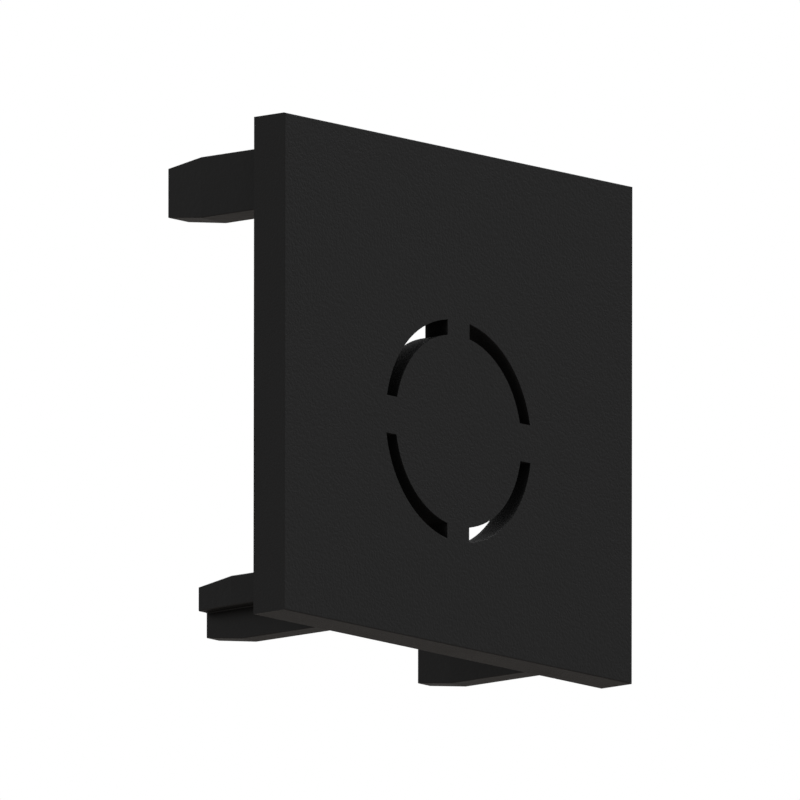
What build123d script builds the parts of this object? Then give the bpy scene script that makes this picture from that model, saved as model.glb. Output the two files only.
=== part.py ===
from build123d import *
import os

# End cap for a cable-duct profile, moulded in one piece. Sizes are in millimetres.
# X runs across the width, Y from the cap into the profile, and Z up.
# The origin is on the seating plane, midway across, at the plate's lower edge.

# Plate
plate_width = 40.0
plate_height = 37.6
plate_thickness = 3.0
edge_round = 0.1  # round along the outline of the front face
rim_width = 1.5  # flat rim that seats on the end of the profile
pocket_depth = 0.8  # shallow hollow in the back, inside the rim
pocket_corner = 0.5

# Knock-out for a cable gland
knockout_height = 16.3  # centre above the lower edge
knockout_diameter = 16.75  # opening that is left when the disc is pushed out
slot_width = 1.15
bridge_width = 2.5  # four bars that hold the disc until then
level_bridge_extra = 0.35  # the two level bars are wider by this, on their upper side

# Walls of the profile that the pegs slip inside
side_wall = 2.25
top_wall = 1.75
lip_reach = 5.8  # lower lip, from the profile's outer side inwards
peg_clearance = 0.1

# Pegs
peg_width = 3.0
peg_height = 4.6
peg_round = 0.1  # along the pegs' corners
peg_reach = 10.6  # beyond the seating plane
tip_length = 3.4
tip_scale = 0.81  # end of the tip against the shank, each way
notch_width = 1.15  # corner left out of the lower pegs
notch_height = 2.35


def at_depth(y):
    """Plane that faces the front, at a depth behind the seating plane."""
    return Plane.XZ.offset(-y)


def make_plate():
    """Slab with a rounded front outline and a shallow pocket in its back."""
    middle = Pos(0, plate_height / 2)
    outline = Rectangle(plate_width, plate_height)
    slab = extrude(at_depth(0) * middle * outline, amount=plate_thickness)
    front_face = slab.faces().sort_by(Axis.Y)[0]
    slab = fillet(front_face.edges(), edge_round)
    pocket_width = plate_width - 2 * rim_width
    pocket_height = plate_height - 2 * rim_width
    pocket = RectangleRounded(pocket_width, pocket_height, pocket_corner)
    return slab - extrude(at_depth(0) * middle * pocket, amount=pocket_depth)


def make_slots():
    """Four arc slots round the knock-out disc, with a straight bar between each pair."""
    outer_radius = knockout_diameter / 2
    ring = Circle(outer_radius) - Circle(outer_radius - slot_width)
    bar_length = 2 * knockout_diameter
    upright_bars = Rectangle(bridge_width, bar_length)
    level_bars = Rectangle(bar_length, bridge_width + level_bridge_extra)
    bars = upright_bars + Pos(0, level_bridge_extra / 2) * level_bars
    return extrude(at_depth(0) * Pos(0, knockout_height) * (ring - bars), amount=plate_thickness)


def make_peg(outline, x, z):
    """Peg on the pocket's floor: a straight shank, then a tip that tapers to its middle."""
    section = fillet(outline.vertices(), peg_round)
    spot = Pos(x, z)
    shank_end = peg_reach - tip_length
    root = at_depth(-pocket_depth) * spot * section
    shank = extrude(root, amount=-(pocket_depth + shank_end))
    tip_start = at_depth(shank_end) * spot * section
    tip_end = at_depth(peg_reach) * spot * scale(section, tip_scale)
    return shank + loft([tip_start, tip_end], ruled=True)


def make_left_pegs():
    """Upper peg in the profile's corner, and the notched lower peg beside its lip."""
    block = Rectangle(peg_width, peg_height)
    notch_x = (notch_width - peg_width) / 2
    notch_z = (notch_height - peg_height) / 2
    notched = block - Pos(notch_x, notch_z) * Rectangle(notch_width, notch_height)
    side = -plate_width / 2
    upper_x = side + side_wall + peg_clearance + peg_width / 2
    upper_z = plate_height - top_wall - peg_clearance - peg_height / 2
    lower_x = side + lip_reach + peg_clearance + peg_width / 2
    lower_z = peg_height / 2  # flush with the plate's lower edge
    return make_peg(block, upper_x, upper_z) + make_peg(notched, lower_x, lower_z)


left_pegs = make_left_pegs()
right_pegs = mirror(left_pegs, about=Plane.YZ)
end_cap = make_plate() - make_slots() + left_pegs + right_pegs

os.makedirs("parts", exist_ok=True)
export_step(end_cap, "parts/end_cap.step")
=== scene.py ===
import bpy
from math import cos, radians, sin
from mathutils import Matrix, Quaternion, Vector


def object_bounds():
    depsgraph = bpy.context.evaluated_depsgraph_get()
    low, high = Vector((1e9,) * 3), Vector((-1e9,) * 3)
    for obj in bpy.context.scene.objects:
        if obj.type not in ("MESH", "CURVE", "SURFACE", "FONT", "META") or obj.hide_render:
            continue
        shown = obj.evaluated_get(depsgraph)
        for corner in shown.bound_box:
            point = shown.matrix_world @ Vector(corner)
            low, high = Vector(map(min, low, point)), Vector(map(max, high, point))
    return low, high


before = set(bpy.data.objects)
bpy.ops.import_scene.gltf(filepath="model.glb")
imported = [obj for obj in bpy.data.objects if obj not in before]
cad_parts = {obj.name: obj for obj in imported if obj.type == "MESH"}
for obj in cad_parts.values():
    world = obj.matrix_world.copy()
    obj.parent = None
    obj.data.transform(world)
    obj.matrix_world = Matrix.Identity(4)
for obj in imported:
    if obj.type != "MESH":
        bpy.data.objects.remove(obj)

scene = bpy.context.scene
scene.view_settings.view_transform = "Standard"
cadLow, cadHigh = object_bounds()  # the CAD model's box, before anything is added
print("frame loaded:", ", ".join(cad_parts))


# Camera: parallel view from the left and a little below, as in the photograph.
cameraSettings = {
    "azimuth": -49.64,  # degrees from the front face's normal, towards the left
    "elevation": -10.415,  # below the horizon
    "roll": 0.08,
    "pixelsPerMetre": 13446.0,
    "imagePixels": 800.0,
    "cornerPixel": (284.79, 112.19),  # the plate's upper left front corner in the photograph
    "distance": 0.4,  # any will do in a parallel view
    "nearest": 0.01,
    "farthest": 5.0,
}


def directionOf(azimuth, elevation):
    # unit vector from the part, with azimuth 0 in front of the plate and -90 at its left
    turn, lift = radians(azimuth), radians(elevation)
    return Vector((sin(turn) * cos(lift), -cos(turn) * cos(lift), sin(lift)))


def makeCamera(settings):
    data = bpy.data.cameras.new("photoCamera")
    data.type = "ORTHO"
    data.ortho_scale = settings["imagePixels"] / settings["pixelsPerMetre"]
    data.clip_start = settings["nearest"]
    data.clip_end = settings["farthest"]
    camera = bpy.data.objects.new("photoCamera", data)
    scene.collection.objects.link(camera)
    toCamera = directionOf(settings["azimuth"], settings["elevation"])
    roll = Quaternion(toCamera, radians(settings["roll"]))
    aim = roll @ (-toCamera).to_track_quat("-Z", "Y")
    right, up = aim @ Vector((1, 0, 0)), aim @ Vector((0, 1, 0))
    corner = Vector((cadLow.x, cadLow.y, cadHigh.z))
    half = settings["imagePixels"] / 2
    rightward = (half - settings["cornerPixel"][0]) / settings["pixelsPerMetre"]
    downward = (half - settings["cornerPixel"][1]) / settings["pixelsPerMetre"]
    middle = corner + right * rightward - up * downward
    camera.rotation_mode = "QUATERNION"
    camera.rotation_quaternion = aim
    camera.location = middle + toCamera * settings["distance"]
    scene.camera = camera


makeCamera(cameraSettings)
print("camera placed")


# Node helpers. A socket, named or numbered, takes another node's output or a plain value.
def feed(tree, socket, value):
    if isinstance(value, bpy.types.NodeSocket):
        tree.links.new(value, socket)
    else:
        socket.default_value = value


def addNode(tree, kind, sockets=None, **settings):
    node = tree.nodes.new(kind)
    for name, value in settings.items():
        setattr(node, name, value)
    for name, value in (sockets or {}).items():
        feed(tree, node.inputs[name], value)
    return node


def mathNode(tree, operation, first, second=0.0):
    return addNode(tree, "ShaderNodeMath", {0: first, 1: second}, operation=operation).outputs["Value"]


def mixNode(tree, kind, share, first, second):
    # the first at share 0, the second at share 1
    sockets = {"Factor": share, "A": first, "B": second}
    return addNode(tree, "ShaderNodeMix", sockets, data_type=kind).outputs["Result"]


def rampNode(tree, value, span, shape="SMOOTHSTEP"):
    # 0 below the span, 1 above it
    sockets = {"Value": value, "From Min": span[0], "From Max": span[1]}
    return addNode(tree, "ShaderNodeMapRange", sockets, interpolation_type=shape).outputs["Result"]


def newTree(holder):
    # empties the nodes of a material or a world
    holder.use_nodes = True
    holder.node_tree.nodes.clear()
    return holder.node_tree


def newGroup(name, inputs, outputs):
    # node group with named sockets; an input is (name, kind, value), an output (name, kind)
    group = bpy.data.node_groups.new(name, "ShaderNodeTree")
    for socketName, kind, value in inputs:
        socket = group.interface.new_socket(socketName, in_out="INPUT", socket_type=kind)
        if value is not None:
            socket.default_value = value
    for socketName, kind in outputs:
        group.interface.new_socket(socketName, in_out="OUTPUT", socket_type=kind)
    return group, addNode(group, "NodeGroupInput").outputs, addNode(group, "NodeGroupOutput").inputs


def placeGroup(tree, group, sockets):
    return addNode(tree, "ShaderNodeGroup", sockets, node_tree=group).outputs


# Fine grain: flat lands with small pits between them, from 0 to 1.
grainSettings = {
    "detail": 2.0,
    "roughness": 0.55,
    "pitSlope": (0.34, 0.62),  # noise from the bottom of a pit up to its land
}


def makeGrainGroup(settings):
    group, given, made = newGroup(
        "fineGrain",
        [("Vector", "NodeSocketVector", None), ("Grains per metre", "NodeSocketFloat", 4500.0)],
        [("Height", "NodeSocketFloat")],
    )
    sockets = {
        "Vector": given["Vector"],
        "Scale": given["Grains per metre"],
        "Detail": settings["detail"],
        "Roughness": settings["roughness"],
    }
    noise = addNode(group, "ShaderNodeTexNoise", sockets).outputs["Fac"]
    feed(group, made["Height"], rampNode(group, noise, settings["pitSlope"]))
    return group


# Soft clouds, from 0 to 1 about 0.5.
cloudSettings = {
    "detail": 3.0,
    "roughness": 0.55,
    "distortion": 0.4,
}


def makeCloudGroup(settings):
    group, given, made = newGroup(
        "softClouds",
        [("Vector", "NodeSocketVector", None), ("Clouds per metre", "NodeSocketFloat", 120.0)],
        [("Mask", "NodeSocketFloat")],
    )
    sockets = {
        "Vector": given["Vector"],
        "Scale": given["Clouds per metre"],
        "Detail": settings["detail"],
        "Roughness": settings["roughness"],
        "Distortion": settings["distortion"],
    }
    feed(group, made["Mask"], addNode(group, "ShaderNodeTexNoise", sockets).outputs["Fac"])
    return group


# Witness line of a round mould pin: 1 on a thin circle about a point of the XZ plane, else 0.
def makePinGroup():
    group, given, made = newGroup(
        "pinWitness",
        [
            ("Vector", "NodeSocketVector", None),
            ("Centre", "NodeSocketVector", None),
            ("Radius", "NodeSocketFloat", 0.001),
            ("Line width", "NodeSocketFloat", 0.0001),
        ],
        [("Line", "NodeSocketFloat")],
    )
    flat = addNode(group, "ShaderNodeVectorMath", {0: given["Vector"], 1: (1, 0, 1)}, operation="MULTIPLY")
    ends = {0: flat.outputs["Vector"], 1: given["Centre"]}
    reach = addNode(group, "ShaderNodeVectorMath", ends, operation="DISTANCE").outputs["Value"]
    offLine = mathNode(group, "ABSOLUTE", mathNode(group, "SUBTRACT", reach, given["Radius"]))
    share = mathNode(group, "MINIMUM", mathNode(group, "DIVIDE", offLine, given["Line width"]), 1.0)
    feed(group, made["Line"], mathNode(group, "SUBTRACT", 1.0, share))
    return group


# Black plastic, with painted shade in its slots and corners. What shows when the cap is fitted
# carries the grain. The back and the pegs are smoother, as that half of a mould is.
plasticSettings = {
    "seatPlane": 0.0,  # where the plate ends and the pegs go on
    "facingBack": 0.5,  # how squarely a surface must face backwards to count as the back
    "darkTone": (0.0145, 0.0145, 0.0145, 1.0),
    "lightTone": (0.0185, 0.0185, 0.0185, 1.0),
    # painted shade: the near-black that slots and corners are coloured, standing in for the shade there
    "paintedShadeTone": (0.0004, 0.0004, 0.0004, 1.0),
    "roughFront": 0.60,
    "roughBack": 0.56,
    "roughSlot": 1.0,
    "roughnessSpread": 0.10,  # how much the clouds change it
    "specularLevel": 0.12,
    "frontGrainsPerMetre": 5200.0,
    "backGrainsPerMetre": 2100.0,
    "frontGrainDepth": 0.000014,
    "backGrainDepth": 0.00001,
    "cloudsPerMetre": 130.0,
    # painted shade: ambient occlusion sets how much shade is painted into the colour in slots and corners
    "cavityReach": 0.0026,  # how near a facing wall darkens the surface
    "cavityRange": (0.48, 0.80),  # share of open sky at which it is fully dark, and fully light
    "cavityRays": 16,
    "pinPlaces": ((0.0148, 0, 0.0262), (0.0148, 0, 0.0092)),  # at the right; the left ones mirror them
    "pinRadius": 0.00125,
    "pinLineWidth": 0.00012,
    "pinLineDepth": 0.00003,
}


def makePlastic(settings):
    material = bpy.data.materials.new("blackMouldedPlastic")
    tree = newTree(material)
    coordinates = addNode(tree, "ShaderNodeTexCoord").outputs
    place = coordinates["Object"]

    # 1 on what faces backwards and on all that stands behind the seat, else 0
    facing = addNode(tree, "ShaderNodeSeparateXYZ", {"Vector": coordinates["Normal"]}).outputs["Y"]
    depth = addNode(tree, "ShaderNodeSeparateXYZ", {"Vector": place}).outputs["Y"]
    facesBack = mathNode(tree, "GREATER_THAN", facing, settings["facingBack"])
    behindSeat = mathNode(tree, "GREATER_THAN", depth, settings["seatPlane"])
    back = mathNode(tree, "MAXIMUM", facesBack, behindSeat)

    cloudSize = {"Vector": place, "Clouds per metre": settings["cloudsPerMetre"]}
    frontSize = {"Vector": place, "Grains per metre": settings["frontGrainsPerMetre"]}
    backSize = {"Vector": place, "Grains per metre": settings["backGrainsPerMetre"]}
    clouds = placeGroup(tree, cloudGroup, cloudSize)["Mask"]
    frontGrain = placeGroup(tree, grainGroup, frontSize)["Height"]
    backGrain = placeGroup(tree, grainGroup, backSize)["Height"]

    # witness lines of the mould's pins on the back, the same at left and right
    mirrored = addNode(tree, "ShaderNodeVectorMath", {0: place}, operation="ABSOLUTE").outputs["Vector"]
    pinLines = 0.0
    for centre in settings["pinPlaces"]:
        sockets = {
            "Vector": mirrored,
            "Centre": centre,
            "Radius": settings["pinRadius"],
            "Line width": settings["pinLineWidth"],
        }
        pinLines = mathNode(tree, "MAXIMUM", placeGroup(tree, pinGroup, sockets)["Line"], pinLines)

    # how open the surface is, from 0 deep in a slot to 1 on the faces; it sets the painted shade in the
    # colour and dulls the roughness
    cavity = addNode(tree, "ShaderNodeAmbientOcclusion", {"Distance": settings["cavityReach"]})
    cavity.samples = settings["cavityRays"]
    cavity.only_local = True
    openness = rampNode(tree, cavity.outputs["AO"], settings["cavityRange"], "LINEAR")

    # colour: two near blacks mixed by the clouds, with painted shade darkening it in the slots and corners
    tone = mixNode(tree, "RGBA", clouds, settings["darkTone"], settings["lightTone"])
    colour = mixNode(tree, "RGBA", openness, settings["paintedShadeTone"], tone)

    # roughness: smoother behind, a little patchy, and dull in the slots and corners
    plain = mixNode(tree, "FLOAT", back, settings["roughFront"], settings["roughBack"])
    aboutZero = mathNode(tree, "SUBTRACT", clouds, 0.5)
    patches = mathNode(tree, "MULTIPLY", aboutZero, settings["roughnessSpread"])
    patchy = mathNode(tree, "ADD", plain, patches)
    roughness = mixNode(tree, "FLOAT", openness, settings["roughSlot"], patchy)

    # relief: fine pits in front, shallower ones and the pins' lines behind
    frontRelief = mathNode(tree, "MULTIPLY", frontGrain, settings["frontGrainDepth"])
    backPits = mathNode(tree, "MULTIPLY", backGrain, settings["backGrainDepth"])
    pinRelief = mathNode(tree, "MULTIPLY", pinLines, settings["pinLineDepth"])
    backRelief = mathNode(tree, "SUBTRACT", backPits, pinRelief)
    height = mixNode(tree, "FLOAT", back, frontRelief, backRelief)
    bump = addNode(tree, "ShaderNodeBump", {"Height": height, "Distance": 1.0, "Strength": 1.0})

    sockets = {
        "Base Color": colour,
        "Roughness": roughness,
        "Specular IOR Level": settings["specularLevel"],
        "Normal": bump.outputs["Normal"],
    }
    shader = addNode(tree, "ShaderNodeBsdfPrincipled", sockets)
    addNode(tree, "ShaderNodeOutputMaterial", {"Surface": shader.outputs["BSDF"]})
    return material


grainGroup = makeGrainGroup(grainSettings)
cloudGroup = makeCloudGroup(cloudSettings)
pinGroup = makePinGroup()
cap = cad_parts["end_cap"]
cap.material_slots[0].material = makePlastic(plasticSettings)
print("plastic made")


# World: white for the camera alone, as nothing on the part would mirror it. The part itself gets
# even light, a little warmer from below.
worldSettings = {
    "lightAbove": (0.49, 0.50, 0.51, 1.0),
    "lightBelow": (0.385, 0.355, 0.331, 1.0),
    "horizon": (-0.25, 0.15),  # rise of the rays between which the two lights mix
    "background": (1.0, 1.0, 1.0, 1.0),
}


def makeWorld(settings):
    world = bpy.data.worlds.new("studio")
    scene.world = world
    tree = newTree(world)
    direction = addNode(tree, "ShaderNodeTexCoord").outputs["Generated"]
    rise = addNode(tree, "ShaderNodeSeparateXYZ", {"Vector": direction}).outputs["Z"]
    share = rampNode(tree, rise, settings["horizon"])
    colour = mixNode(tree, "RGBA", share, settings["lightBelow"], settings["lightAbove"])
    light = addNode(tree, "ShaderNodeBackground", {"Color": colour, "Strength": 1.0})
    white = addNode(tree, "ShaderNodeBackground", {"Color": settings["background"], "Strength": 1.0})
    seen = addNode(tree, "ShaderNodeLightPath").outputs["Is Camera Ray"]
    sockets = {"Fac": seen, 1: light.outputs["Background"], 2: white.outputs["Background"]}
    choice = addNode(tree, "ShaderNodeMixShader", sockets)
    addNode(tree, "ShaderNodeOutputWorld", {"Surface": choice.outputs["Shader"]})


makeWorld(worldSettings)
print("world made")


# Floor: pale, seen only from above, and fading out into the white. The photograph looks from
# below it, so from there it is clear, and it takes no light from the part's underside.
floorSettings = {
    "size": 1.6,
    "gap": 0.00005,  # under the part's lower edge
    "colour": (0.82, 0.82, 0.82, 1.0),
    "fade": (0.10, 0.45),  # from the part, where it starts to fade, and where it is gone
}


def makeFloor(settings):
    half = settings["size"] / 2
    height = cadLow.z - settings["gap"]
    corners = [(-half, -half, height), (half, -half, height), (half, half, height), (-half, half, height)]
    mesh = bpy.data.meshes.new("floor")
    mesh.from_pydata(corners, [], [(0, 1, 2, 3)])
    floor = bpy.data.objects.new("floor", mesh)
    scene.collection.objects.link(floor)
    floor.visible_diffuse = False
    floor.visible_glossy = False
    floor.visible_shadow = False

    material = bpy.data.materials.new("paleFloor")
    mesh.materials.append(material)
    tree = newTree(material)
    paint = addNode(tree, "ShaderNodeBsdfDiffuse", {"Color": settings["colour"]})
    clear = addNode(tree, "ShaderNodeBsdfTransparent")
    geometry = addNode(tree, "ShaderNodeNewGeometry").outputs
    reach = addNode(tree, "ShaderNodeVectorMath", {0: geometry["Position"]}, operation="LENGTH")
    faded = rampNode(tree, reach.outputs["Value"], settings["fade"])
    gone = mathNode(tree, "MAXIMUM", faded, geometry["Backfacing"])
    sockets = {"Fac": gone, 1: paint.outputs["BSDF"], 2: clear.outputs["BSDF"]}
    choice = addNode(tree, "ShaderNodeMixShader", sockets)
    addNode(tree, "ShaderNodeOutputMaterial", {"Surface": choice.outputs["Shader"]})


makeFloor(floorSettings)
print("floor laid")


# Lamps: large soft panels, placed by angle round the part and all turned to its middle.
panelSettings = {
    "distance": 0.45,
    "size": 0.30,
    "panels": {  # name: azimuth, elevation, power, colour
        "keyPanel": (55, 45, 0.58, (0.95, 0.975, 1.0)),
        "leftPanel": (-85, 25, 0.16, (0.96, 0.98, 1.0)),
        "fillPanel": (-45, -20, 0.20, (1.0, 1.0, 1.0)),
        "backPanel": (135, 40, 1.05, (1.0, 1.0, 1.0)),
    },
}


def makePanels(settings):
    middle = (cadLow + cadHigh) / 2
    for name, (azimuth, elevation, power, colour) in settings["panels"].items():
        data = bpy.data.lights.new(name, "AREA")
        data.size = settings["size"]
        data.energy = power
        data.color = colour
        panel = bpy.data.objects.new(name, data)
        scene.collection.objects.link(panel)
        away = directionOf(azimuth, elevation)
        panel.location = middle + away * settings["distance"]
        panel.rotation_mode = "QUATERNION"
        panel.rotation_quaternion = (-away).to_track_quat("-Z", "Y")
        panel.visible_camera = False


makePanels(panelSettings)
print("lamps placed")
